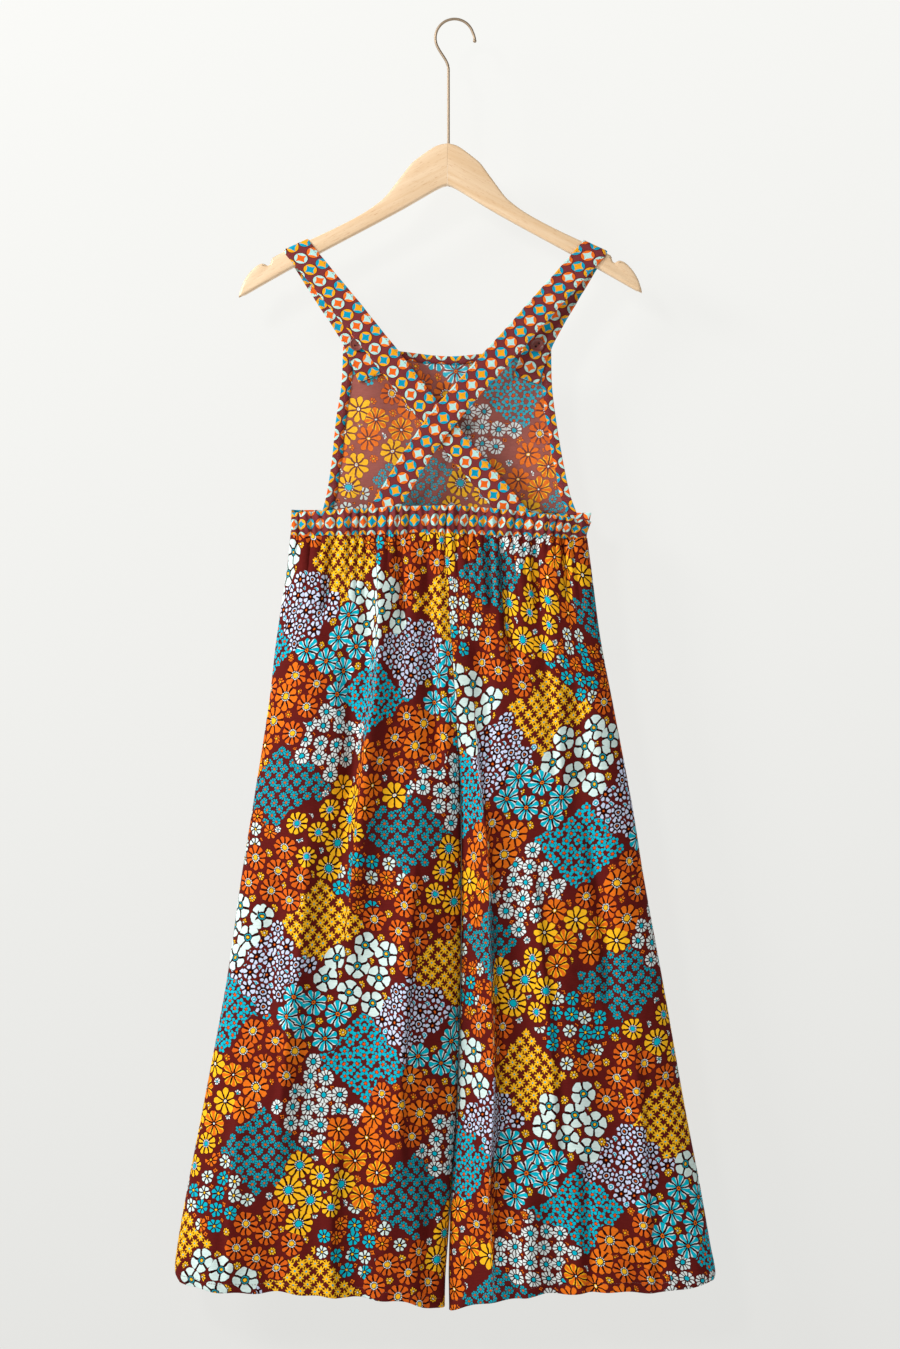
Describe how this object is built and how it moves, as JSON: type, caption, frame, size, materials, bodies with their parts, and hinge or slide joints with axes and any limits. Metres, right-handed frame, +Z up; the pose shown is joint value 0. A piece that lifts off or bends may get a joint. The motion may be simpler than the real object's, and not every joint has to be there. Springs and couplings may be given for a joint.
{
  "type": "bib jumpsuit on a wooden hanger",
  "caption": "Wide-leg bib jumpsuit in floral patchwork cloth, with crossed shoulder straps and an elastic back waist, hung flat on a wooden hanger with a wire hook.",
  "frame": {"origin": "the place on the inside of the hanger's hook where a rail bears, right above the hook's stem", "axes": "+Z up, X across the garment with the wearer's right hand on the +X side, +Y out of the bib and -Y out of the open back"},
  "size_m": [0.5898, 0.0733, 1.4192],
  "materials": {
    "floral_cloth": "light woven viscose, matt, printed with a patchwork of flowers on maroon",
    "floral_wrong_side": "wrong side of the printed viscose, paler and matt",
    "circle_cloth": "light woven viscose, matt, printed with circles and stars",
    "circle_casing": "circle-printed viscose casing gathered over elastic",
    "button_plastic": "dark brown polyester, half gloss",
    "beech": "clear satin lacquer on pale beech",
    "nickel_wire": "steel wire with satin nickel plating"
  },
  "bodies": {
    "root": {"leg_back_left": "floral_cloth", "leg_back_right": "floral_cloth", "leg_front_left": "floral_cloth", "leg_front_right": "floral_cloth", "waistband_back": "circle_casing", "waistband_front": "circle_cloth", "bib_front": "floral_wrong_side", "neck_binding": "circle_cloth", "armhole_binding_left": "circle_cloth", "armhole_binding_right": "circle_cloth", "strap_left": "circle_cloth", "strap_right": "circle_cloth", "button_left": "button_plastic", "button_right": "button_plastic", "hanger_arm_left": "beech", "hanger_arm_right": "beech", "hanger_hook": "nickel_wire"}
  },
  "joints": []
}
